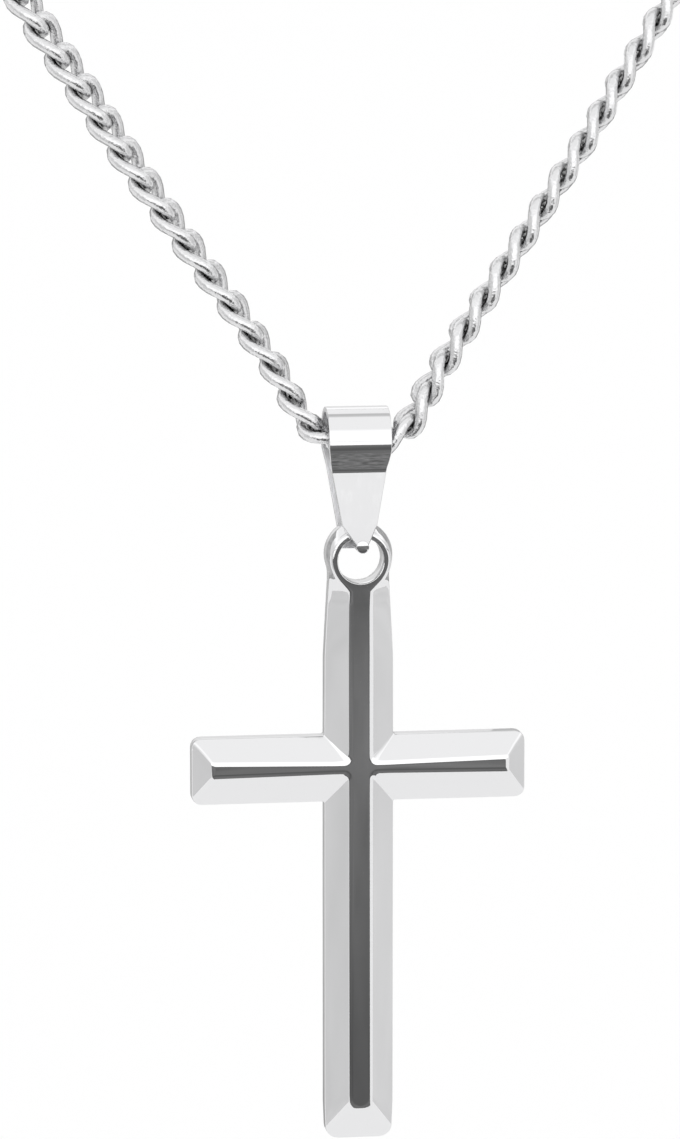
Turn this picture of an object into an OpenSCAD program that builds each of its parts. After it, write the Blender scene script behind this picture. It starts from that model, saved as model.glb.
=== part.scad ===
// Cross pendant on a folded bail and a curb chain, as it hangs round a neck.
// Millimetres, +Z up, the front faces -Y, and the origin is the middle of the neck.

/* [Cross] */
// Span of the arms, tip to tip
cross_span = 30; // [26:0.5:38]
// Distance from the ring's hole down to the foot
cross_drop = 52.6; // [46:0.1:62]
// Distance from the ring's hole down to the middle of the arms
arm_level = 18.9; // [16:0.1:24]
// Width of the upright
upright_w = 6.2; // [5.6:0.1:7.4]
// Width of the upright where it meets the ring
waist_w = 5; // [4.6:0.1:5.4]
// Length over which the upright narrows below the ring
waist_l = 6.8; // [5:0.1:9]
// Height of the arms
arm_w = 6; // [5:0.1:7.4]
// Thickness of the plain edge behind the bevels
edge_t = 1.3; // [0.8:0.1:1.8]
// Height of the bevelled front above the plain edge
bevel_rise = 1.4; // [1:0.1:1.8]
// Width of the flat crest along the upright
upright_crest = 1.7; // [0.8:0.1:2.2]
// Width of the flat crest along the arms
arm_crest = 0.8; // [0.4:0.1:1.6]
// Radius that softens both crests
crest_round = 0.5; // [0.2:0.1:0.8]
// Length of the sloping end of each arm
arm_end_slope = 1.7; // [1.2:0.1:3]
// Length of the sloping foot
foot_slope = 2.7; // [1.4:0.1:4]
// Radius of the outline's corners
corner_r = 0.9; // [0.4:0.1:1.4]

/* [Ring of the cross] */
// Diameter of the ring's hole
ring_hole = 4.1; // [3.8:0.1:5]
// Width of the ring's band beside the hole
ring_band = 0.9; // [0.7:0.1:1.2]
// How far the band is wider above the hole than beside it
ring_top_extra = 0.4; // [0:0.1:0.6]
// Width of the flat rim round the hole
ring_rim = 0.4; // [0.3:0.05:0.6]
// Angle of the bevel outside that rim
ring_slope = 60; // [45:1:70]

/* [Bail] */
// Width of the bail at its curl
bail_w = 5.6; // [5:0.1:7]
// How far the bail hangs to the left of the chain's middle
bail_aside = 0.3; // [0:0.05:0.5]
// How far below the curl's middle the leaves start to narrow
taper_start = 0.8; // [0:0.1:2]
// Width of the back leaf at its lower end
leaf_end_w = 2.2; // [2:0.1:3.4]
// Thickness of the folded strip
strip_t = 0.5; // [0.4:0.05:0.6]
// Inner diameter of the curl
curl_bore = 4.8; // [4.6:0.1:5.4]
// Distance from the curl's middle down to the middle of the prong
bail_drop = 9.35; // [9:0.05:12]
// How far the leaves are drawn in just below the curl
neck_in = 0.2; // [0.1:0.05:0.4]
// Radius of the reverse bend at the neck, at mid thickness
neck_bend = 3; // [1:0.1:6]
// Clearance between each leaf and the ring
leaf_clearance = 0.2; // [0.15:0.05:0.4]
// Diameter of the prong
prong_d = 1.1; // [0.8:0.05:1.3]
// How far the prong lies beside the bail's middle
prong_aside = 0.25; // [0:0.05:0.5]
// Height over which the front leaf narrows to the prong
tip_l = 1.7; // [1:0.1:2.4]
// Width of the front leaf's tip, where it runs into the prong
tip_w = 0.9; // [0.6:0.05:0.9]
// How far the front leaf's tip ends above the middle of the prong
tip_rise = 0.25; // [0:0.05:0.3]
// How far the back leaf reaches below the prong
leaf_overhang = 0.15; // [0.1:0.05:0.4]
// Clearance between the prong and the top of the ring's hole
prong_clearance = 0.15; // [0.1:0.05:0.3]

/* [Chain] */
// Wire of the links
link_wire = 0.97; // [0.8:0.01:1.1]
// Width of a link, outside
link_w = 3.8; // [3.6:0.05:3.9]
// Thickness of a link, outside, across its twist
link_t = 2.6; // [2.5:0.05:2.7]
// Distance from link to link, before it is fitted to the loop
link_pitch = 3.27; // [3.2:0.01:3.6]
// Clearance between one link and the next
link_clearance = 0.3; // [0.25:0.01:0.35]
// Clearance between the chain and the top of the curl
curl_clearance = 0.15; // [0.1:0.05:0.5]

/* [Clasp] */
// Length of the clasp between the chain's two ends
clasp_l = 12; // [10:0.5:16]
// Width of the clasp's loop
clasp_w = 5; // [4.4:0.1:6]
// Thickness of the clasp's loop
clasp_t = 0.8; // [0.6:0.1:0.9]
// Width of the metal round the clasp's loop
clasp_wall = 0.9; // [0.7:0.1:1]
// Inner diameter of the clasp's eye
clasp_eye = 1.9; // [1.7:0.1:2.4]
// Wire of the clasp's eye
eye_wire = 0.8; // [0.6:0.1:0.9]

/* [Hidden] */
$fn = 64;
steel = [0.78, 0.78, 0.79];

// Route of one half of the chain, from the bail to the nape.
// Columns: x, y, z, roll on the +X side, roll on the -X side.
// At a roll of 90 the chain stands on edge, and at 180 it lies flat on the neck.
half_route = [
    [0, -62, -118, 90, 90],
    [4.2, -61.8, -116.4, 92, 90],
    [7.6, -61.1, -111.2, 98, 93],
    [15.1, -59.4, -100, 114, 102],
    [23.1, -57.3, -87.8, 120, 108],
    [31.6, -54, -73.6, 129, 110],
    [45.5, -41, -42, 144, 112],
    [57, -19, -15, 160, 140],
    [62, 5, -2, 180, 180],
    [55, 33, 4, 170, 170],
    [33, 53, 8, 150, 150],
    [0, 62, 9, 135, 135]
];
route_steps = 8;
link_sides = 10;
wire_sides = 5;
arc_steps = 5;
fit_steps = 24;
leaf_into_curl = 5;
margin = 1;

// Levels of the cross above its flat back, and the ring's outline
crest_h = edge_t + bevel_rise;
hole_r = ring_hole / 2;
ring_r = hole_r + ring_band;
upright_top = -hole_r / 2;

// The bail seen from the side, at mid thickness
curl_r = (curl_bore + strip_t) / 2;
prong_r = prong_d / 2;
leaf_y = crest_h / 2 + leaf_clearance + strip_t / 2;
leaf_y_level = -bail_drop + ring_r;
neck_y = leaf_y - neck_in;
neck_angle = acos((neck_y + neck_bend) / (curl_r + neck_bend));
neck_z = -(curl_r + neck_bend) * sin(neck_angle);
leaf_lean = atan(neck_in / (neck_z - leaf_y_level));
leaf_end_z = -bail_drop - prong_r - leaf_overhang;
tip_z = tip_rise - bail_drop;
prong_y = leaf_y + ring_r * tan(leaf_lean);
hole_z = -bail_drop + prong_r + prong_clearance - hole_r;

// Half sizes of a link at the middle of its wire
link_half_w = (link_w - link_wire) / 2;
link_half_t = (link_t - link_wire) / 2;

// The chain's loop, as a fine line through the route
half_line = [
    for (i = [0 : len(half_route) - 2]) for (k = [0 : route_steps - 1])
        route_point(i, k / route_steps),
    half_route[len(half_route) - 1]
];
run_length = [
    for (i = 0, s = 0; i < len(half_line); i = i + 1,
        s = s + (i < len(half_line) ? norm(place(half_line[i]) - place(half_line[i - 1])) : 0)) s
];
half_length = run_length[len(run_length) - 1];
chain_length = half_length - clasp_l / 2;
half_links = round(chain_length / link_pitch - 0.5);
pitch = chain_length / (half_links + 0.5);
link_half_l = (pitch + link_wire + link_clearance) / 2;

// The bail hangs from the chain: the highest that its curl lets the chain lie
bail_top = place(half_route[0]);
curl_fit = curl_bore / 2 - curl_clearance - link_wire / 2;
chain_in_curl = [
    for (side = [-1, 1]) for (i = [0 : 2]) for (k = [1 : fit_steps])
        in_frame(link_line(k * 360 / fit_steps), link_frame(i, side)) - bail_top
            + [bail_aside, 0, 0]
];
curl_shift = min([
    for (p = chain_in_curl) if (abs(p[0]) < bail_w / 2 + link_wire / 4)
        sqrt(max(0, pow(curl_fit, 2) - pow(p[1], 2))) - p[2]
]);
bail_place = bail_top - [bail_aside, 0, curl_shift];

// A point of the route between two neighbours, on a smooth curve.
// The route mirrors at the bail and at the nape, so its ends need no special case.
function place(p) = [p[0], p[1], p[2]];
function mirrored(p) = [-p[0], p[1], p[2], p[3], p[4]];
function route_at(i) =
    let (last = len(half_route) - 1)
    i < 0 ? mirrored(half_route[-i]) : i > last ? mirrored(half_route[2 * last - i]) : half_route[i];
function route_point(i, t) =
    let (a = route_at(i - 1), b = route_at(i), c = route_at(i + 1), d = route_at(i + 2))
    b + ((c - a) * t + (2 * a - 5 * b + 4 * c - d) * t * t + (3 * b - a - 3 * c + d) * t * t * t) / 2;
function column_at(s, column) =
    lookup(s, [for (i = [0 : len(half_line) - 1]) [run_length[i], half_line[i][column]]]);

// A point of the loop at the length s from the bail, on the side that faces +X or -X
function loop_place(s, side) =
    [side * sign(s) * column_at(abs(s), 0), column_at(abs(s), 1), column_at(abs(s), 2)];
function loop_roll(s, side) = column_at(abs(s), side > 0 ? 3 : 4);
function unit(v) = v / norm(v);

// A link's frame from the joints at its two ends: its middle, then the axes of
// its length, width and thickness
function link_frame(i, side) =
    let (
        s = (i - 0.5) * pitch,
        a = loop_place(s, side),
        b = loop_place(s + pitch, side),
        along = unit((b - a) * side),
        middle = (a + b) / 2,
        roll = loop_roll(s + pitch / 2, side),
        inward = [-middle[0], -middle[1], 0],
        flat = unit(inward - (inward * along) * along),
        across = cross(flat, along)
    )
    [middle, along, across * cos(roll) - flat * sin(roll), flat * cos(roll) + across * sin(roll)];
function in_frame(p, f) = f[0] + f[1] * p[0] + f[2] * p[1] + f[3] * p[2];

// The twisted oval of a curb link: its wire's middle line, and the rings round it
function link_line(t) = [link_half_l * cos(t), link_half_w * sin(t), -link_half_t * sin(2 * t)];
function link_run(t) =
    unit([-link_half_l * sin(t), link_half_w * cos(t), -2 * link_half_t * cos(2 * t)]);
function wire_ring(t) =
    let (
        run = link_run(t),
        out = [link_half_w * cos(t), link_half_l * sin(t), 0],
        side = unit(out - (out * run) * run),
        rise = cross(run, side)
    )
    [for (k = [0 : wire_sides - 1])
        let (a = k * 360 / wire_sides)
        link_line(t) + link_wire / 2 * (side * cos(a) + rise * sin(a))];
link_points = [for (j = [0 : link_sides - 1]) each wire_ring(j * 360 / link_sides)];
function link_faces(first) = [
    for (j = [0 : link_sides - 1]) for (k = [0 : wire_sides - 1])
        let (
            j2 = (j + 1) % link_sides,
            k2 = (k + 1) % wire_sides,
            a = first + j * wire_sides + k,
            b = first + j * wire_sides + k2,
            c = first + j2 * wire_sides + k2,
            d = first + j2 * wire_sides + k
        )
        each [[a, c, b], [a, d, c]]
];

// Half of the chain: separate links, each through the next
module chain_half(side, first_link) {
    frames = [for (i = [first_link : half_links]) link_frame(i, side)];
    points = [for (f = frames) each [for (p = link_points) in_frame(p, f)]];
    faces = [for (i = [0 : len(frames) - 1]) each link_faces(i * len(link_points))];
    color(steel) polyhedron(points = points, faces = faces, convexity = 6);
}

// The +X half has the link that lies in the bail
module chain_right() {
    chain_half(1, 0);
}

module chain_left() {
    chain_half(-1, 1);
}

// Runs an outline drawn in (y, z) from x0 to x1, or one drawn in (x, z) from y0 to y1
module run_x(x0, x1) {
    translate([x0, 0, 0]) rotate([90, 0, 90]) linear_extrude(height = x1 - x0) children();
}

module run_y(y0, y1) {
    translate([0, y1, 0]) rotate([90, 0, 0]) linear_extrude(height = y1 - y0) children();
}

function flipped(points) = [for (p = points) [-p[0], p[1]]];
function backwards(points) = [for (k = [len(points) - 1 : -1 : 0]) points[k]];

// The cross lies on its back while it is made: x to the right, y up the upright,
// z the height above the flat back, and the ring's hole at the origin.

// Half of a bevelled bar's profile. The slope runs on past the edge, down to the back.
function roof_half(half_w, half_crest) =
    let (
        slope = atan(bevel_rise / (half_w - half_crest)),
        flat_end = half_crest - crest_round * tan(slope / 2)
    )
    [
        [half_w + edge_t / tan(slope), 0],
        for (k = [0 : arc_steps])
            let (a = slope * (1 - k / arc_steps))
            [flat_end + crest_round * sin(a), crest_h - crest_round * (1 - cos(a))]
    ];
module roof(w, crest_w) {
    half = roof_half(w / 2, crest_w / 2);
    polygon(concat(half, backwards(flipped(half))));
}

// What a sloping end leaves of a bar, from the middle to the end, in (distance, height)
module sloped_end(end, slope_l) {
    run = slope_l / bevel_rise;
    polygon([[0, 0], [end + edge_t * run, 0], [end - (bevel_rise + margin) * run, crest_h + margin],
        [0, crest_h + margin]]);
}

function corner(x, y, turn) = [
    for (k = [0 : arc_steps])
        [x, y] + corner_r * [cos(turn + 90 * k / arc_steps), sin(turn + 90 * k / arc_steps)]
];
module arms_outline() {
    x = cross_span / 2 - corner_r;
    y = arm_w / 2 - corner_r;
    translate([0, -arm_level])
        polygon(concat(corner(x, y, 0), corner(-x, y, 90), corner(-x, -y, 180), corner(x, -y, 270)));
}

// The upright narrows to its waist along a gentle curve
narrowing = [
    for (k = [0 : arc_steps])
        let (t = k / arc_steps)
        [(upright_w + (waist_w - upright_w) * t * t * t) / 2, -hole_r - waist_l * (1 - t)]
];
module upright_outline() {
    x = upright_w / 2 - corner_r;
    y = corner_r - cross_drop;
    polygon(concat(
        corner(-x, y, 180), corner(x, y, 270), narrowing,
        [[waist_w / 2, upright_top], [-waist_w / 2, upright_top]], backwards(flipped(narrowing))
    ));
}

module upright() {
    intersection() {
        run_y(-cross_drop - margin, upright_top) roof(upright_w, upright_crest);
        run_x(-upright_w, upright_w) mirror([1, 0]) sloped_end(cross_drop, foot_slope);
        linear_extrude(height = crest_h) upright_outline();
    }
}

module arms() {
    span = cross_span + 2 * margin;
    intersection() {
        run_x(-span / 2, span / 2) translate([-arm_level, 0]) roof(arm_w, arm_crest);
        run_y(-arm_level - arm_w, -arm_level + arm_w) union() {
            sloped_end(cross_span / 2, arm_end_slope);
            mirror([1, 0]) sloped_end(cross_span / 2, arm_end_slope);
        }
        linear_extrude(height = crest_h) arms_outline();
    }
}

// The ring is flat round its hole, and bevelled outside that rim
module ring() {
    rim_r = hole_r + ring_rim;
    intersection() {
        translate([0, ring_top_extra, 0]) cylinder(r = ring_r, h = crest_h);
        rotate_extrude()
            polygon([[0, 0], [rim_r + crest_h / tan(ring_slope), 0], [rim_r, crest_h], [0, crest_h]]);
    }
}

module cross_pendant() {
    color(steel) difference() {
        union() {
            upright();
            arms();
            ring();
        }
        translate([0, 0, -margin]) cylinder(r = hole_r, h = crest_h + 2 * margin);
    }
}

module cross_node() {
    translate(bail_place + [prong_aside, crest_h / 2, hole_z]) rotate([90, 0, 0]) cross_pendant();
}

// One side of the front leaf, drawn in (y, z) from its low end up to the curl, and a
// little way into it. The side lies at a distance off outwards from mid thickness.
function leaf_side(low_z, off) =
    let (
        middle = [-neck_y - neck_bend, neck_z],
        down = (neck_z - low_z) / cos(leaf_lean),
        neck_r = neck_bend - off,
        inside = neck_angle - leaf_into_curl
    )
    [
        middle + [neck_r * cos(leaf_lean) - down * sin(leaf_lean),
            -neck_r * sin(leaf_lean) - down * cos(leaf_lean)],
        for (k = [0 : arc_steps])
            let (a = -leaf_lean + (neck_angle + leaf_lean) * k / arc_steps)
            middle + neck_r * [cos(a), sin(a)],
        -(curl_r + off / 2) * [cos(inside), sin(inside)]
    ];
module leaf_profile(low_z) {
    polygon(concat(leaf_side(low_z, strip_t / 2), backwards(leaf_side(low_z, -strip_t / 2))));
}

// The curl is open between the two leaves
module curl() {
    outside = curl_r + strip_t / 2;
    reach = 2 * outside;
    side = reach * [cos(neck_angle), -sin(neck_angle)];
    difference() {
        rotate([0, 90, 0]) cylinder(r = outside, h = 2 * bail_w, center = true);
        rotate([0, 90, 0]) cylinder(r = curl_bore / 2, h = 2 * bail_w + margin, center = true);
        run_x(-bail_w - margin, bail_w + margin)
            polygon([[0, 0], side, [side[0], -reach], [-side[0], -reach], [-side[0], side[1]]]);
    }
}

// Both leaves narrow evenly below the curl, drawn in (x, z)
function leaf_half_w(z) =
    bail_w / 2 + (leaf_end_w - bail_w) / 2 * (z + taper_start) / (leaf_end_z + taper_start);
module bail_outline() {
    top = curl_r + strip_t;
    polygon([
        [bail_w / 2, top], [bail_w / 2, -taper_start], [leaf_end_w / 2, leaf_end_z],
        [-leaf_end_w / 2, leaf_end_z], [-bail_w / 2, -taper_start], [-bail_w / 2, top]
    ]);
}

// What is cut from the front leaf beside its tip. The slanting cut runs on past the leaf's edge.
module beside_tip(side) {
    tip = [prong_aside + side * tip_w / 2, tip_z];
    edge = [side * leaf_half_w(tip_z + tip_l), tip_z + tip_l];
    beyond = 2 * edge - tip;
    polygon([beyond, [beyond[0], leaf_end_z], [tip[0], leaf_end_z], tip]);
}

module bail() {
    front_y = -leaf_y - strip_t;
    color(steel) translate(bail_place) {
        difference() {
            intersection() {
                union() {
                    curl();
                    run_x(-bail_w, bail_w) leaf_profile(tip_z);
                    run_x(-bail_w, bail_w) mirror([1, 0]) leaf_profile(leaf_end_z);
                }
                run_y(-curl_bore, curl_bore) bail_outline();
            }
            run_y(front_y - margin, 0) beside_tip(1);
            run_y(front_y - margin, 0) beside_tip(-1);
        }
        translate([prong_aside, prong_y, -bail_drop]) rotate([90, 0, 0])
            cylinder(r = prong_r, h = 2 * prong_y);
    }
}

// A plain closed loop, flat on the neck, with a small eye that stands across it
module clasp() {
    end_joint = loop_place(chain_length, 1);
    hole_end = end_joint[0] + link_clearance / 2;
    loop_r = clasp_w / 2;
    eye_r = (clasp_eye + eye_wire) / 2;
    eye_x = hole_end - clasp_eye / 2;
    loop_x0 = loop_r - clasp_wall - hole_end;
    loop_x1 = eye_x - clasp_eye / 2 - loop_r;
    color(steel) translate([0, end_joint[1], end_joint[2]]) {
        rotate([90, 0, 0]) translate([0, 0, -clasp_t / 2]) difference() {
            linear_extrude(height = clasp_t) stadium(loop_x0, loop_x1, loop_r);
            translate([0, 0, -margin]) linear_extrude(height = clasp_t + 2 * margin)
                stadium(loop_x0, loop_x1, loop_r - clasp_wall);
        }
        translate([eye_x, 0, 0]) rotate_extrude() translate([eye_r, 0]) circle(eye_wire / 2);
    }
}

module stadium(x0, x1, r) {
    translate([x0, 0]) circle(r);
    translate([x1, 0]) circle(r);
    translate([x0, -r]) square([x1 - x0, 2 * r]);
}

cross_node();  // cross
bail();
chain_left();
chain_right();
clasp();
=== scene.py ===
import math

import bpy
import numpy as np
from mathutils import Matrix, Vector


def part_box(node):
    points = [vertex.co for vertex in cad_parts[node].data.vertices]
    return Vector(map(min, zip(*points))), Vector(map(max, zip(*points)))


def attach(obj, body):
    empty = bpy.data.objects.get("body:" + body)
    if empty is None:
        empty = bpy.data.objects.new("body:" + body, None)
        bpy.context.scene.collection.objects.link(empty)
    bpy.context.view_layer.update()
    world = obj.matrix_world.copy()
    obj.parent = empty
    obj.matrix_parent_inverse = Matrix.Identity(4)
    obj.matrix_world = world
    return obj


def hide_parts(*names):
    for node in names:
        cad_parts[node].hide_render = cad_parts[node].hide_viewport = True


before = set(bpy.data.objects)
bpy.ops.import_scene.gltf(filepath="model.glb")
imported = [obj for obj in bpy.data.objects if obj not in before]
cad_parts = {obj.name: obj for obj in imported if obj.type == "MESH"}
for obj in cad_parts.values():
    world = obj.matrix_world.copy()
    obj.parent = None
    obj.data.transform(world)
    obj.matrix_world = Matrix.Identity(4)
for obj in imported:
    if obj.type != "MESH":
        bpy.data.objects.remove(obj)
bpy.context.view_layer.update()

mm = 0.001
micron = 0.001 * mm
print("frame loaded:", sorted(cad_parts))


def selectOnly(*objects):
    bpy.ops.object.select_all(action="DESELECT")
    for obj in objects:
        obj.select_set(True)
    bpy.context.view_layer.objects.active = objects[0]


# the camera looks from where the photograph was taken
bailLow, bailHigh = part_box("bail")
crossLow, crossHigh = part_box("cross")

cameraSetup = {
    "azimuth": -8,  # degrees, towards -X
    "elevation": 9,
    "distance": 450 * mm,
    "targetX": -1.75 * mm,
    "targetBelowBail": 14.55 * mm,
    "lens": 160.6,
    "sensorHeight": 36,
}


def setUpCamera(c):
    azimuth = math.radians(c["azimuth"])
    elevation = math.radians(c["elevation"])
    target = Vector((c["targetX"], (crossLow.y + crossHigh.y) / 2, bailHigh.z - c["targetBelowBail"]))
    back = Vector((math.sin(azimuth) * math.cos(elevation), -math.cos(azimuth) * math.cos(elevation),
                   math.sin(elevation)))
    bpy.ops.object.camera_add(location=target + back * c["distance"],
                              rotation=(math.pi / 2 - elevation, 0, azimuth))
    camera = bpy.context.object
    camera.name = "camera"
    camera.data.sensor_fit = "VERTICAL"
    camera.data.sensor_height = c["sensorHeight"]
    camera.data.sensor_width = c["sensorHeight"]
    camera.data.lens = c["lens"]
    camera.data.clip_start = 1 * mm
    bpy.context.scene.camera = camera


setUpCamera(cameraSetup)
print("the camera is in place")


# floor, soft light and cards
studio = {
    "floorZ": -300 * mm,
    "floorSize": 30,
    "floorTone": 0.93,
    "floorRoughness": 0.9,
    "sideLight": 0.84,  # brightness of the walls beside the necklace
    "frontLight": 1.4,  # the big soft light above the camera
    "topLight": 1.06,
    "lightTurns": (0.5, 0.66),  # heights between which the front light turns into the top light
    "frontFades": (0.55, 0.85),  # how far forward the walls fade into the lights
    "topFades": (0.35, 0.6),  # and how far up
}

# cards that only mirrors see: four corners (x, y, z) in mm, and brightness at places (y in mm, brightness)
cards = {
    "darkCard": {
        "corners": [(-20, -203, -295), (120, -203, -295), (120, -363, -158), (-300, -363, -158)],
        "tones": [(-363, 0.14), (-343, 0.14), (-322, 0.2), (-303, 0.17), (-278, 0.1), (-250, 0.17)],
        "mottle": 0.2},
    "leftCard": {
        "corners": [(-350, -140, -295), (-240, -330, -295), (-240, -330, -40), (-350, -140, -40)],
        "tones": [(-330, 0.72), (-140, 0.72)], "mottle": 0.06},
    "rightCard": {
        "corners": [(310, -230, -295), (350, 30, -295), (350, 30, -40), (310, -230, -40)],
        "tones": [(-230, 0.78), (30, 0.78)], "mottle": 0.06},
    "neckCard": {
        "corners": [(-3.4, -64.4, -126.8), (6, -64.4, -126.8), (6, -73.3, -126.9), (-2.1, -73.3, -126.9)],
        "tones": [(-73.3, 0.2), (-64.4, 0.2)], "mottle": 0.4},
    "curlShield": {
        "corners": [(-6, -75, -117.6), (8, -75, -117.6), (8, -76, -120.3), (-6, -76, -120.3)],
        "tones": [(-76, 1.35), (-75, 1.35)], "mottle": 0},
    "backLeftCard": {
        "corners": [(-160, 60, -290), (-60, 100, -290), (-60, 100, 0), (-160, 60, 0)],
        "tones": [(60, 0.42), (100, 0.55)], "mottle": 0.3},
    "backRightCard": {
        "corners": [(40, 100, -290), (150, 60, -290), (150, 60, 0), (40, 100, 0)],
        "tones": [(60, 0.42), (100, 0.55)], "mottle": 0.3},
    "behindCard": {
        "corners": [(-130, 300, -295), (130, 300, -295), (130, 420, -110), (-130, 420, -110)],
        "tones": [(300, 0.4), (420, 0.7)], "mottle": 0.2},
    "topStrip": {
        "corners": [(-300, 45, 200), (300, 45, 200), (300, -66, 200), (-300, -66, 200)],
        "tones": [(-66, 0.95), (-30, 0.68), (15, 0.62), (45, 0.95)], "mottle": 0.1},
}

# the faint clouds on the cards
cardClouds = {
    "acrossCard": 14,
    "detail": 5,
    "range": (0.3, 0.7),
}


def grey(tone):
    return (tone, tone, tone, 1)


def makeFloor(s):
    bpy.ops.mesh.primitive_plane_add(size=s["floorSize"], location=(0, 0, s["floorZ"]))
    floor = bpy.context.object
    floor.name = "floor"
    paint = bpy.data.materials.new("palePaper")
    paint.use_nodes = True
    shader = paint.node_tree.nodes["Principled BSDF"]
    shader.inputs["Base Color"].default_value = grey(s["floorTone"])
    shader.inputs["Roughness"].default_value = s["floorRoughness"]
    floor.data.materials.append(paint)


def makeCard(name, c, clouds):
    bpy.ops.mesh.primitive_plane_add(size=1, location=(0, 0, 0))
    card = bpy.context.object
    card.name = name
    for index, corner in zip(card.data.polygons[0].vertices, c["corners"]):
        card.data.vertices[index].co = Vector(corner) * mm
    paint = bpy.data.materials.new(name + "Paint")
    paint.use_nodes = True
    nodes = paint.node_tree.nodes
    link = paint.node_tree.links.new
    nodes.clear()
    where = nodes.new("ShaderNodeTexCoord")
    parts = nodes.new("ShaderNodeSeparateXYZ")
    link(where.outputs["Object"], parts.inputs["Vector"])
    first, last = c["tones"][0][0], c["tones"][-1][0]
    along = nodes.new("ShaderNodeMapRange")
    along.inputs["From Min"].default_value = first * mm
    along.inputs["From Max"].default_value = last * mm
    link(parts.outputs["Y"], along.inputs["Value"])
    ramp = nodes.new("ShaderNodeValToRGB")
    link(along.outputs["Result"], ramp.inputs["Fac"])
    for y, _ in c["tones"][1:-1]:
        ramp.color_ramp.elements.new((y - first) / (last - first))
    for stop, (_, tone) in zip(ramp.color_ramp.elements, c["tones"]):
        stop.color = grey(tone)
    cloud = nodes.new("ShaderNodeTexNoise")
    size = (card.data.vertices[0].co - card.data.vertices[3].co).length
    cloud.inputs["Scale"].default_value = clouds["acrossCard"] / size
    cloud.inputs["Detail"].default_value = clouds["detail"]
    link(where.outputs["Object"], cloud.inputs["Vector"])
    strength = nodes.new("ShaderNodeMapRange")
    strength.inputs["From Min"].default_value = clouds["range"][0]
    strength.inputs["From Max"].default_value = clouds["range"][1]
    strength.inputs["To Min"].default_value = 1 - c["mottle"]
    strength.inputs["To Max"].default_value = 1 + c["mottle"]
    link(cloud.outputs["Fac"], strength.inputs["Value"])
    glow = nodes.new("ShaderNodeEmission")
    link(ramp.outputs["Color"], glow.inputs["Color"])
    link(strength.outputs["Result"], glow.inputs["Strength"])
    output = nodes.new("ShaderNodeOutputMaterial")
    link(glow.outputs["Emission"], output.inputs["Surface"])
    card.data.materials.append(paint)
    card.visible_camera = False
    card.visible_diffuse = False
    card.visible_shadow = False


def lightTheRoom(s):
    world = bpy.data.worlds.new("whiteTent")
    bpy.context.scene.world = world
    world.use_nodes = True
    tree = world.node_tree
    tree.nodes.clear()
    new = tree.nodes.new
    link = tree.links.new
    where = new("ShaderNodeTexCoord")
    parts = new("ShaderNodeSeparateXYZ")
    link(where.outputs["Generated"], parts.inputs["Vector"])
    # height of the direction: brightness from the horizon up
    rise = new("ShaderNodeValToRGB")
    link(parts.outputs["Z"], rise.inputs["Fac"])
    stops = rise.color_ramp.elements
    stops[0].color = grey(s["frontLight"])
    stops[1].position = s["lightTurns"][1]
    stops[1].color = grey(s["topLight"])
    stops.new(s["lightTurns"][0]).color = grey(s["frontLight"])
    # how far the direction turns forward or up, away from the walls (the front is -Y)
    front = new("ShaderNodeMath")
    front.operation = "MULTIPLY"
    front.inputs[1].default_value = -1
    link(parts.outputs["Y"], front.inputs[0])
    either = new("ShaderNodeMath")
    either.operation = "MAXIMUM"
    for side, value, fades in ((0, front.outputs[0], s["frontFades"]),
                               (1, parts.outputs["Z"], s["topFades"])):
        fade = new("ShaderNodeMapRange")
        fade.interpolation_type = "SMOOTHSTEP"
        fade.inputs["From Min"].default_value = fades[0]
        fade.inputs["From Max"].default_value = fades[1]
        link(value, fade.inputs["Value"])
        link(fade.outputs["Result"], either.inputs[side])
    mix = new("ShaderNodeMix")
    mix.data_type = "RGBA"
    link(either.outputs[0], mix.inputs["Factor"])
    mix.inputs["A"].default_value = grey(s["sideLight"])
    link(rise.outputs["Color"], mix.inputs["B"])
    sky = new("ShaderNodeBackground")
    link(mix.outputs["Result"], sky.inputs["Color"])
    output = new("ShaderNodeOutputWorld")
    link(sky.outputs["Background"], output.inputs["Surface"])
    bpy.context.scene.view_settings.view_transform = "Standard"


makeFloor(studio)
for name, card in cards.items():
    makeCard(name, card, cardClouds)
lightTheRoom(studio)
print("floor, light and", len(cards), "cards are in place")


# steels: sizes are in millimetres, heights in microns
steels = {
    # the crevice value is the share of the tone left where painted shade darkens the crevices
    "mirrorSteel": {"tone": 0.8, "roughness": (0.02, 0.08), "waveSize": 1.6, "waveHeight": 1.6,
                    "scratchSize": 0.12, "scratchHeight": 0.12, "creviceShade": 0.6},
    "wireSteel": {"tone": 0.75, "roughness": (0.06, 0.18), "waveSize": 0.28, "waveHeight": 55,
                  "scratchSize": 0.1, "scratchHeight": 0.4, "creviceShade": 0.36},
    # the unpolished inner side of the bail's strip
    "leafBackSteel": {"tone": 0.97, "roughness": (0.75, 0.9), "waveSize": 0.5, "waveHeight": 1.5,
                      "scratchSize": 0.1, "scratchHeight": 0.3, "creviceShade": 1},
}

polishing = {
    "waveDetail": 3,
    "scratchDetail": 4,
    "scratchStretch": (1, 1, 0.06),  # long up and down
    "scratchLean": (0.15, 0.1, 0),
    "dullRange": (0.12, 0.42),
    # the crevice width, samples and range set how far the painted crevice shade reaches and how it fades
    "creviceShadeWidth": 1.1 * mm,
    "creviceShadeSamples": 6,
    "creviceShadeRange": (0.25, 0.8),
    "blueTint": 1.01,
}


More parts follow.
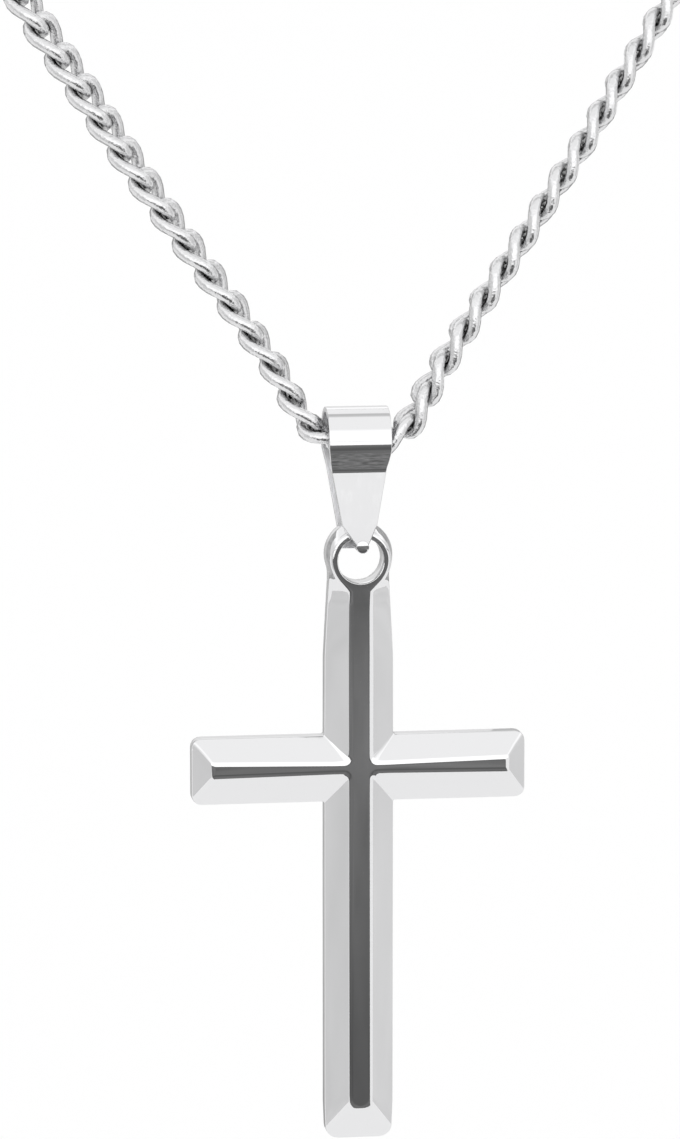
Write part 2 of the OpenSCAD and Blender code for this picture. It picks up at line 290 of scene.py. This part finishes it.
def steelFinish(name, c, p):
    steel = bpy.data.materials.new(name)
    steel.use_nodes = True
    nodes = steel.node_tree.nodes
    link = steel.node_tree.links.new
    shader = nodes["Principled BSDF"]
    shader.inputs["Metallic"].default_value = 1
    where = nodes.new("ShaderNodeTexCoord")
    # slow waves that the polishing wheel leaves
    waves = nodes.new("ShaderNodeTexNoise")
    waves.inputs["Scale"].default_value = 1 / (c["waveSize"] * mm)
    waves.inputs["Detail"].default_value = p["waveDetail"]
    link(where.outputs["Object"], waves.inputs["Vector"])
    # fine scratches
    stretch = nodes.new("ShaderNodeMapping")
    stretch.inputs["Scale"].default_value = p["scratchStretch"]
    stretch.inputs["Rotation"].default_value = p["scratchLean"]
    link(where.outputs["Object"], stretch.inputs["Vector"])
    scratches = nodes.new("ShaderNodeTexNoise")
    scratches.inputs["Scale"].default_value = 1 / (c["scratchSize"] * mm)
    scratches.inputs["Detail"].default_value = p["scratchDetail"]
    link(stretch.outputs["Vector"], scratches.inputs["Vector"])
    bumps = None
    for pattern, height in ((waves, c["waveHeight"]), (scratches, c["scratchHeight"])):
        bump = nodes.new("ShaderNodeBump")
        bump.inputs["Strength"].default_value = 1
        bump.inputs["Distance"].default_value = height * micron
        link(pattern.outputs["Fac"], bump.inputs["Height"])
        if bumps:
            link(bumps.outputs["Normal"], bump.inputs["Normal"])
        bumps = bump
    link(bumps.outputs["Normal"], shader.inputs["Normal"])
    # the polish is a little duller in places, and along the scratches
    dull = nodes.new("ShaderNodeMath")
    dull.operation = "MULTIPLY"
    link(waves.outputs["Fac"], dull.inputs[0])
    link(scratches.outputs["Fac"], dull.inputs[1])
    polish = nodes.new("ShaderNodeMapRange")
    polish.inputs["From Min"].default_value = p["dullRange"][0]
    polish.inputs["From Max"].default_value = p["dullRange"][1]
    polish.inputs["To Min"].default_value = c["roughness"][0]
    polish.inputs["To Max"].default_value = c["roughness"][1]
    link(dull.outputs[0], polish.inputs["Value"])
    link(polish.outputs["Result"], shader.inputs["Roughness"])
    # painted shade: the ambient occlusion node darkens the base colour in corners and crevices, standing in
    # for the shade that falls there
    corner = nodes.new("ShaderNodeAmbientOcclusion")
    corner.samples = p["creviceShadeSamples"]
    corner.inputs["Distance"].default_value = p["creviceShadeWidth"]
    tones = nodes.new("ShaderNodeValToRGB")
    dark, bright = tones.color_ramp.elements
    dark.position = p["creviceShadeRange"][0]
    dark.color = grey(c["tone"] * c["creviceShade"])
    bright.position = p["creviceShadeRange"][1]
    bright.color = (c["tone"], c["tone"], c["tone"] * p["blueTint"], 1)
    link(corner.outputs["AO"], tones.inputs["Fac"])
    link(tones.outputs["Color"], shader.inputs["Base Color"])
    return steel


mirrorSteel, wireSteel, leafBackSteel = (steelFinish(name, c, polishing) for name, c in steels.items())

# the frame's own nodes carry the same steels
for nodeName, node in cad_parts.items():
    isWire = nodeName.startswith("chain") or nodeName == "clasp"
    node.data.materials.clear()
    node.data.materials.append(wireSteel if isWire else mirrorSteel)
print("steels are mixed")


# the cross, in mm: one outline at the edge, one at the crest, bridged and closed
crossSizes = {
    "ringPoints": 48,
    "ring": {"radius": 3, "rise": 0.35, "openBelow": 68},  # degrees from straight down
    "rim": {"radius": 2.7, "rise": 0, "openBelow": 43},
    "hole": 2.05,
    "fromTop": 3.35,  # from the ring's top down to the middle of its hole
    "edge": 1.3,  # in front of the back
    "crest": 2.7,
    # corners down the right side from the ring: x, z, rounding
    "edgeCorners": [(2.75, -0.95, 0), (2.72, -1.25, 0), (2.71, -1.6, 0), (2.72, -2.1, 0), (2.76, -2.85, 0),
                    (2.86, -4.6, 0), (2.97, -6.6, 0), (3.08, -8.85, 0), (3.1, -15.9, 0.2), (15, -15.9, 0.9),
                    (15, -21.9, 0.9), (3.1, -21.9, 0.15), (3.1, -49.5, 0), (2.98, -52.85, 1.1)],
    "crestCorners": [(1, -2.85, 0), (0.95, -4.6, 0), (0.95, -6.6, 0), (0.95, -8.85, 0), (0.95, -18.2, 0.5),
                     (13.3, -17.93, 0.3), (13.3, -19.22, 0.3), (0.95, -19.05, 0.55),
                     (0.95, -48.5, 0), (0.93, -49.8, 0.85)],
    "cornerSteps": 5,
    "softEdge": 0.12,
    "softCrest": 0.3,
    "softSteps": 3,
    "softHole": 0.1,
    "softHoleSteps": 2,
    "drillLength": 10,
    "smoothBelow": 35,  # degrees between faces
    # planes that part the crest round the crossing: x, then z
    "partX": (-2.4, 2.4),
    "partZ": (-4, -17, -21),
}


def pickVertices(mesh, wanted):
    bpy.ops.mesh.select_all(action="DESELECT")
    bpy.ops.object.mode_set(mode="OBJECT")
    for vertex in mesh.vertices:
        vertex.select = wanted(vertex.co)
    bpy.ops.object.mode_set(mode="EDIT")


def pickEdges(mesh, wanted):
    bpy.ops.mesh.select_all(action="DESELECT")
    bpy.ops.object.mode_set(mode="OBJECT")
    for edge in mesh.edges:
        edge.select = all(wanted(mesh.vertices[index].co) for index in edge.vertices)
    bpy.ops.object.mode_set(mode="EDIT")
    bpy.ops.mesh.select_mode(type="EDGE")


def near(a, b, slack=2 * micron):
    return abs(a - b) < slack


def traceOutline(mesh, middle, y, arch, corners, c):
    # a circle opened at its foot, whose two ends are drawn on down from corner to corner
    bpy.ops.mesh.select_mode(type="VERT")
    bpy.ops.mesh.select_all(action="DESELECT")
    bpy.ops.mesh.primitive_circle_add(vertices=c["ringPoints"], radius=arch["radius"] * mm,
                                      location=(middle.x, y, middle.z + arch["rise"] * mm),
                                      rotation=(math.pi / 2, 0, 0))
    foot = -math.cos(math.radians(arch["openBelow"])) * arch["radius"] * mm
    level = middle.z + arch["rise"] * mm
    pickVertices(mesh, lambda co: near(co.y, y) and co.z - level < foot)
    bpy.ops.mesh.delete(type="VERT")
    bpy.ops.object.mode_set(mode="OBJECT")
    lowest = min(v.co.z for v in mesh.vertices if near(v.co.y, y))
    bpy.ops.object.mode_set(mode="EDIT")
    for side in (1, -1):
        pickVertices(mesh, lambda co: near(co.y, y) and near(co.z, lowest) and (co.x - middle.x) * side > 0)
        at = next(v.co.copy() for v in mesh.vertices if v.select)
        for x, z, _ in corners:
            goal = Vector((middle.x + side * x * mm, y, middle.z + z * mm))
            bpy.ops.mesh.extrude_region_move(TRANSFORM_OT_translate={"value": goal - at})
            at = goal
    bottom = middle.z + corners[-1][1] * mm
    pickVertices(mesh, lambda co: near(co.y, y) and near(co.z, bottom))
    bpy.ops.mesh.edge_face_add()
    for x, z, rounding in corners:
        if rounding:
            place = (x * mm, middle.z + z * mm)
            pickVertices(mesh, lambda co: near(co.y, y) and near(abs(co.x - middle.x), place[0])
                         and near(co.z, place[1]))
            bpy.ops.mesh.bevel(offset=rounding * mm, segments=c["cornerSteps"], affect="VERTICES",
                               clamp_overlap=False)


def makeCross(c):
    middle = Vector(((crossLow.x + crossHigh.x) / 2, 0, crossHigh.z - c["fromTop"] * mm))
    back = crossHigh.y
    edge = back - c["edge"] * mm
    crest = back - c["crest"] * mm
    bpy.ops.mesh.primitive_plane_add(size=1 * mm)
    cross = bpy.context.object
    cross.name = "pendantCross"
    mesh = cross.data
    bpy.ops.object.mode_set(mode="EDIT")
    bpy.ops.mesh.delete(type="VERT")
    traceOutline(mesh, middle, edge, c["ring"], c["edgeCorners"], c)
    traceOutline(mesh, middle, crest, c["rim"], c["crestCorners"], c)
    bpy.ops.object.mode_set(mode="OBJECT")
    print("outline points:", sum(near(v.co.y, edge) for v in mesh.vertices),
          sum(near(v.co.y, crest) for v in mesh.vertices))
    bpy.ops.object.mode_set(mode="EDIT")
    bpy.ops.mesh.select_mode(type="EDGE")
    bpy.ops.mesh.select_all(action="SELECT")
    bpy.ops.mesh.bridge_edge_loops()
    pickEdges(mesh, lambda co: near(co.y, crest))
    bpy.ops.mesh.edge_face_add()
    pickEdges(mesh, lambda co: near(co.y, edge))
    bpy.ops.mesh.extrude_region_move(TRANSFORM_OT_translate={"value": (0, back - edge, 0)})
    bpy.ops.mesh.edge_face_add()
    bpy.ops.mesh.select_all(action="SELECT")
    bpy.ops.mesh.normals_make_consistent(inside=False)
    for level, width in ((crest, c["softCrest"]), (edge, c["softEdge"]), (back, c["softEdge"])):
        pickEdges(mesh, lambda co: near(co.y, level))
        bpy.ops.mesh.bevel(offset=width * mm, segments=c["softSteps"], affect="EDGES",
                           clamp_overlap=False)
    for x in c["partX"]:
        bpy.ops.mesh.select_all(action="SELECT")
        bpy.ops.mesh.bisect(plane_co=(middle.x + x * mm, 0, 0), plane_no=(1, 0, 0))
    for z in c["partZ"]:
        bpy.ops.mesh.select_all(action="SELECT")
        bpy.ops.mesh.bisect(plane_co=(0, 0, middle.z + z * mm), plane_no=(0, 0, 1))
    bpy.ops.object.mode_set(mode="OBJECT")
    # the hole
    bpy.ops.object.select_all(action="DESELECT")
    bpy.ops.mesh.primitive_cylinder_add(vertices=c["ringPoints"], radius=c["hole"] * mm,
                                        depth=c["drillLength"] * mm,
                                        location=(middle.x, edge, middle.z), rotation=(math.pi / 2, 0, 0))
    drill = bpy.context.object
    selectOnly(cross)
    bpy.ops.object.modifier_add(type="BOOLEAN")
    cross.modifiers[-1].object = drill
    cross.modifiers[-1].operation = "DIFFERENCE"
    bpy.ops.object.modifier_apply(modifier=cross.modifiers[-1].name)
    bpy.data.objects.remove(drill)
    bpy.ops.object.mode_set(mode="EDIT")

    def onHole(co):
        across = math.hypot(co.x - middle.x, co.z - middle.z)
        return near(across, c["hole"] * mm) and (near(co.y, crest) or near(co.y, back))

    pickEdges(mesh, onHole)
    bpy.ops.mesh.bevel(offset=c["softHole"] * mm, segments=c["softHoleSteps"], affect="EDGES",
                       clamp_overlap=False)
    bpy.ops.object.mode_set(mode="OBJECT")
    bpy.ops.object.shade_smooth_by_angle(angle=math.radians(c["smoothBelow"]))
    bpy.ops.object.modifier_add(type="WEIGHTED_NORMAL")
    cross.modifiers[-1].keep_sharp = True
    bpy.ops.object.modifier_apply(modifier=cross.modifiers[-1].name)
    mesh.materials.append(mirrorSteel)
    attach(cross, "cross")
    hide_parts("cross")
    print("pendantCross has", len(mesh.polygons), "faces")


makeCross(crossSizes)


# the bail, in mm: a strip drawn up the front, rolled round the curl and down the back
bailSizes = {
    "width": 5.55,
    "taperStart": 0.8,  # below the curl's middle
    "endWidth": 2.2,
    "thick": 0.5,
    "curl": 2.65,  # radius at mid thickness
    "neck": 1.5,  # radius of the reverse bend
    "neckIn": 1.6,  # from the middle to the strip at the neck
    "lean": 3.67,  # degrees
    "tipTop": -7.4,
    "tipEnd": -9.2,
    "tipWidth": 1.1,
    "tipAside": 0.25,
    "backEnd": -10.05,
    "prongLevel": -9.35,
    "prongWidth": 1.15,
    "prongOut": 0.75,  # both ends together stand this far out of the leaves' mid thickness
    "prongSides": 24,
    "neckSteps": 5,  # faces round each bend
    "curlSteps": 28,
    "soft": 0.07,
    "softSteps": 2,
    "softAbove": 40,  # degrees between faces
    "smoothBelow": 35,
}


def makeBail(c):
    axis = (bailLow + bailHigh) / 2
    axis.z = bailHigh.z - (c["curl"] + c["thick"] / 2) * mm
    turn = math.acos((c["neckIn"] + c["neck"]) / (c["curl"] + c["neck"]))
    lean = math.radians(c["lean"])
    neckZ = -(c["curl"] + c["neck"]) * math.sin(turn)
    neckMiddle = Vector((0, -(c["neckIn"] + c["neck"]) * mm, neckZ * mm))
    start = neckMiddle + Vector((0, math.cos(lean), -math.sin(lean))) * c["neck"] * mm  # top of the leaf

    def leafPoint(z):
        return Vector((0, start.y + (z * mm - start.z) * math.tan(lean), z * mm))

    bpy.ops.mesh.primitive_plane_add(size=c["width"] * mm, location=axis)
    bail = bpy.context.object
    bail.name = "foldedBail"
    selectOnly(bail)
    bpy.ops.object.transform_apply(location=True, rotation=True, scale=True)
    mesh = bail.data
    bpy.ops.object.mode_set(mode="EDIT")
    bpy.ops.mesh.select_mode(type="VERT")
    pickVertices(mesh, lambda co: co.y > axis.y)
    bpy.ops.mesh.delete(type="VERT")
    bpy.ops.mesh.select_all(action="SELECT")
    bpy.ops.transform.translate(value=leafPoint(c["tipEnd"]) + Vector((0, c["width"] / 2 * mm, 0)))
    bpy.ops.mesh.extrude_region_move(
        TRANSFORM_OT_translate={"value": leafPoint(c["tipTop"]) - leafPoint(c["tipEnd"])})
    bpy.ops.mesh.extrude_region_move(TRANSFORM_OT_translate={"value": start - leafPoint(c["tipTop"])})
    backNeck = Vector((0, -neckMiddle.y, neckMiddle.z))
    for middle, angle, steps in ((neckMiddle, turn + lean, c["neckSteps"]),
                                 (Vector(), -(math.pi + 2 * turn), c["curlSteps"]),
                                 (backNeck, turn + lean, c["neckSteps"])):
        bpy.ops.mesh.spin(steps=steps, angle=-angle, center=axis + middle, axis=(1, 0, 0))
    foot = leafPoint(c["backEnd"])
    bpy.ops.mesh.extrude_region_move(
        TRANSFORM_OT_translate={"value": (0, start.y - foot.y, foot.z - start.z)})
    bpy.ops.mesh.select_all(action="SELECT")
    bpy.ops.mesh.remove_doubles(threshold=micron)
    bpy.ops.mesh.normals_make_consistent(inside=False)
    bpy.ops.object.mode_set(mode="OBJECT")
    # narrow every row below the curl
    taper = (c["endWidth"] - c["width"]) / (c["backEnd"] + c["taperStart"])
    levels = sorted({round((v.co.z - axis.z) / mm, 3) for v in mesh.vertices})
    bpy.ops.object.mode_set(mode="EDIT")
    for level in levels:
        if level < -c["taperStart"]:
            width = c["width"] + taper * (level + c["taperStart"])
            width = c["tipWidth"] if near(level * mm, c["tipEnd"] * mm) else width
            pickVertices(mesh, lambda co: near(co.z, axis.z + level * mm))
            bpy.ops.transform.resize(value=(width / c["width"], 1, 1), center_override=axis)
    pickVertices(mesh, lambda co: near(co.z, axis.z + c["tipEnd"] * mm))
    bpy.ops.transform.translate(value=(c["tipAside"] * mm, 0, 0))
    bpy.ops.object.mode_set(mode="OBJECT")
    mesh.materials.append(mirrorSteel)
    mesh.materials.append(leafBackSteel)
    bpy.ops.object.modifier_add(type="SOLIDIFY")
    bail.modifiers[-1].thickness = c["thick"] * mm
    bail.modifiers[-1].offset = 0
    bail.modifiers[-1].material_offset = 1
    bpy.ops.object.modifier_apply(modifier=bail.modifiers[-1].name)

    # the prong that runs through the ring
    bpy.ops.object.select_all(action="DESELECT")
    front = leafPoint(c["prongLevel"]).y
    bpy.ops.mesh.primitive_cylinder_add(
        vertices=c["prongSides"], radius=c["prongWidth"] / 2 * mm, depth=-2 * front + c["prongOut"] * mm,
        location=axis + Vector((c["tipAside"] * mm, 0, c["prongLevel"] * mm)), rotation=(math.pi / 2, 0, 0))
    prong = bpy.context.object
    bpy.ops.object.transform_apply(location=True, rotation=True, scale=True)
    prong.data.materials.append(mirrorSteel)
    selectOnly(bail, prong)
    bpy.ops.object.join()
    bpy.ops.object.modifier_add(type="BEVEL")
    bail.modifiers[-1].width = c["soft"] * mm
    bail.modifiers[-1].segments = c["softSteps"]
    bail.modifiers[-1].angle_limit = math.radians(c["softAbove"])
    bpy.ops.object.modifier_apply(modifier=bail.modifiers[-1].name)
    bpy.ops.object.shade_smooth_by_angle(angle=math.radians(c["smoothBelow"]))
    bpy.ops.object.modifier_add(type="WEIGHTED_NORMAL")
    bpy.ops.object.modifier_apply(modifier=bail.modifiers[-1].name)
    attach(bail, "bail")
    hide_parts("bail")
    print("foldedBail has", len(bail.data.polygons), "faces")


makeBail(bailSizes)


# the clasp, in mm: a round-edged loop, flat on the neck, and an eye that stands across it
claspSizes = {
    "loopWidth": 5,
    "wall": 0.9,
    "thick": 0.8,
    "eyeHole": 1.9,
    "eyeWire": 0.8,
    "wireSides": 16,
    "loopSteps": 40,
    "eyeSteps": 32,
}


def makeClasp(c):
    low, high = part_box("clasp")
    middle = (low + high) / 2
    eyeRadius = (c["eyeHole"] + c["eyeWire"]) / 2 * mm
    eyeX = high.x - eyeRadius - c["eyeWire"] / 2 * mm
    loopRadius = (c["loopWidth"] - c["wall"]) / 2 * mm
    loopLeft = low.x + c["loopWidth"] / 2 * mm
    loopRight = eyeX - c["eyeHole"] / 2 * mm - c["loopWidth"] / 2 * mm
    bpy.ops.object.select_all(action="DESELECT")
    bpy.ops.mesh.primitive_torus_add(location=(0, 0, 0), rotation=(math.pi / 2, 0, 0),
                                     major_segments=c["loopSteps"], minor_segments=c["wireSides"],
                                     major_radius=loopRadius, minor_radius=c["wall"] / 2 * mm)
    loop = bpy.context.object
    loop.name = "plainClasp"
    bpy.ops.object.transform_apply(location=True, rotation=True, scale=True)
    bpy.ops.object.mode_set(mode="EDIT")
    bpy.ops.mesh.select_all(action="SELECT")
    bpy.ops.transform.resize(value=(1, c["thick"] / c["wall"], 1), center_override=(0, 0, 0))
    bpy.ops.mesh.bisect(plane_co=(0, 0, 0), plane_no=(1, 0, 0))
    bpy.ops.mesh.select_mode(type="VERT")
    for side, goal in ((-1, loopLeft), (1, loopRight)):
        pickVertices(loop.data, lambda co: co.x * side > 10 * micron)
        bpy.ops.transform.translate(value=(goal, 0, 0))
    bpy.ops.object.mode_set(mode="OBJECT")
    bpy.ops.object.select_all(action="DESELECT")
    bpy.ops.mesh.primitive_torus_add(location=(eyeX, middle.y, middle.z),
                                     major_segments=c["eyeSteps"], minor_segments=c["wireSides"],
                                     major_radius=eyeRadius, minor_radius=c["eyeWire"] / 2 * mm)
    eye = bpy.context.object
    bpy.ops.object.transform_apply(location=True, rotation=True, scale=True)
    selectOnly(loop)
    bpy.ops.transform.translate(value=(0, middle.y, middle.z))
    bpy.ops.object.transform_apply(location=True, rotation=True, scale=True)
    selectOnly(loop, eye)
    bpy.ops.object.join()
    bpy.ops.object.shade_smooth()
    loop.data.materials.append(wireSteel)
    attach(loop, "chain")
    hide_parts("clasp")
    print("plainClasp has", len(loop.data.polygons), "faces")


makeClasp(claspSizes)


# the chain: one curb link is bent and copied to the place of each link of the frame
linkSizes = {
    "halfLength": 2.263 * mm,  # of the wire's middle line
    "halfWidth": 1.34 * mm,
    "halfTwist": -0.64 * mm,
    "wire": 1.12 * mm,
    "points": 12,  # along the wire
    "steps": 2,  # between two points
    "roundSteps": 2,  # gives the wire eight sides
    # how far each link turns about the chain, in degrees, at heights in mm
    "turns": {"chain_left": [(-117, 0), (-113, -7), (-108, -12), (-100, -18), (-89, -32), (-60, -28),
                             (-42, -18), (-15, 0)],
              "chain_right": [(-113, 2), (-60, 2), (-15, 0)]},
    # how far the links above the bail stand to the side, in mm, at heights in mm
    "shifts": {"chain_left": [(-116, 0), (-112.5, 0.3), (-107, 0.35), (-103, 0.15), (-98, 0)],
               "chain_right": [(-116, 0), (-112.5, -0.25), (-107, -0.3), (-99, -0.15), (-90, 0)]},
}


def makeLink(c):
    bpy.ops.curve.primitive_bezier_circle_add(radius=c["halfLength"], enter_editmode=True)
    bpy.ops.curve.select_all(action="SELECT")
    bpy.ops.curve.subdivide(number_cuts=c["points"] // 4 - 1)
    bpy.ops.object.mode_set(mode="OBJECT")
    link = bpy.context.object
    points = link.data.splines[0].bezier_points
    for k, point in enumerate(points):
        turn = 2 * math.pi * k / len(points)
        point.co = (c["halfLength"] * math.cos(turn), c["halfWidth"] * math.sin(turn),
                    c["halfTwist"] * math.sin(2 * turn))
        point.handle_left_type = "AUTO"
        point.handle_right_type = "AUTO"
    link.data.dimensions = "3D"
    link.data.resolution_u = c["steps"]
    link.data.bevel_depth = c["wire"] / 2
    link.data.bevel_resolution = c["roundSteps"]
    selectOnly(link)
    bpy.ops.object.convert(target="MESH")
    link = bpy.context.object
    link.name = "link"
    bpy.ops.object.shade_smooth()
    return link


def linkPlaces(nodeName, c):
    # each link of the frame lies along the three main axes of its own corners
    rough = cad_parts[nodeName].copy()
    rough.data = rough.data.copy()
    bpy.context.collection.objects.link(rough)
    rough.parent = None
    selectOnly(rough)
    bpy.ops.object.mode_set(mode="EDIT")
    bpy.ops.mesh.select_all(action="SELECT")
    bpy.ops.mesh.remove_doubles(threshold=micron)
    bpy.ops.mesh.separate(type="LOOSE")
    bpy.ops.object.mode_set(mode="OBJECT")
    places = []
    for part in list(bpy.context.selected_objects):
        corners = np.array([v.co for v in part.data.vertices])
        middle = corners.mean(0)
        axes = np.linalg.eigh(np.cov((corners - middle).T))[1]
        along, across = axes[:, 2], axes[:, 1]
        along = along if along[2] > 0 else -along
        thick = np.cross(along, across)
        stand = Matrix([along, across, thick]).transposed().to_4x4()
        height = middle[2] / mm
        turn = math.radians(np.interp(height, *zip(*c["turns"][nodeName])))
        middle[0] += np.interp(height, *zip(*c["shifts"][nodeName])) * mm
        places.append(Matrix.Translation(Vector(middle)) @ stand @ Matrix.Rotation(turn, 4, "X"))
        bpy.data.objects.remove(part)
    return places


def strungChain(pieceName, nodeName, link, c):
    copies = []
    for place in linkPlaces(nodeName, c):
        copy = link.copy()
        copy.data = link.data.copy()
        copy.data.transform(place)
        bpy.context.collection.objects.link(copy)
        copies.append(copy)
    selectOnly(*copies)
    bpy.ops.object.join()
    chain = bpy.context.object
    chain.name = pieceName
    chain.data.materials.append(wireSteel)
    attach(chain, "chain")
    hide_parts(nodeName)
    print(pieceName, "has", len(copies), "links,", len(chain.data.polygons), "faces")


oneLink = makeLink(linkSizes)
strungChain("curbChainLeft", "chain_left", oneLink, linkSizes)
strungChain("curbChainRight", "chain_right", oneLink, linkSizes)
bpy.data.objects.remove(oneLink)
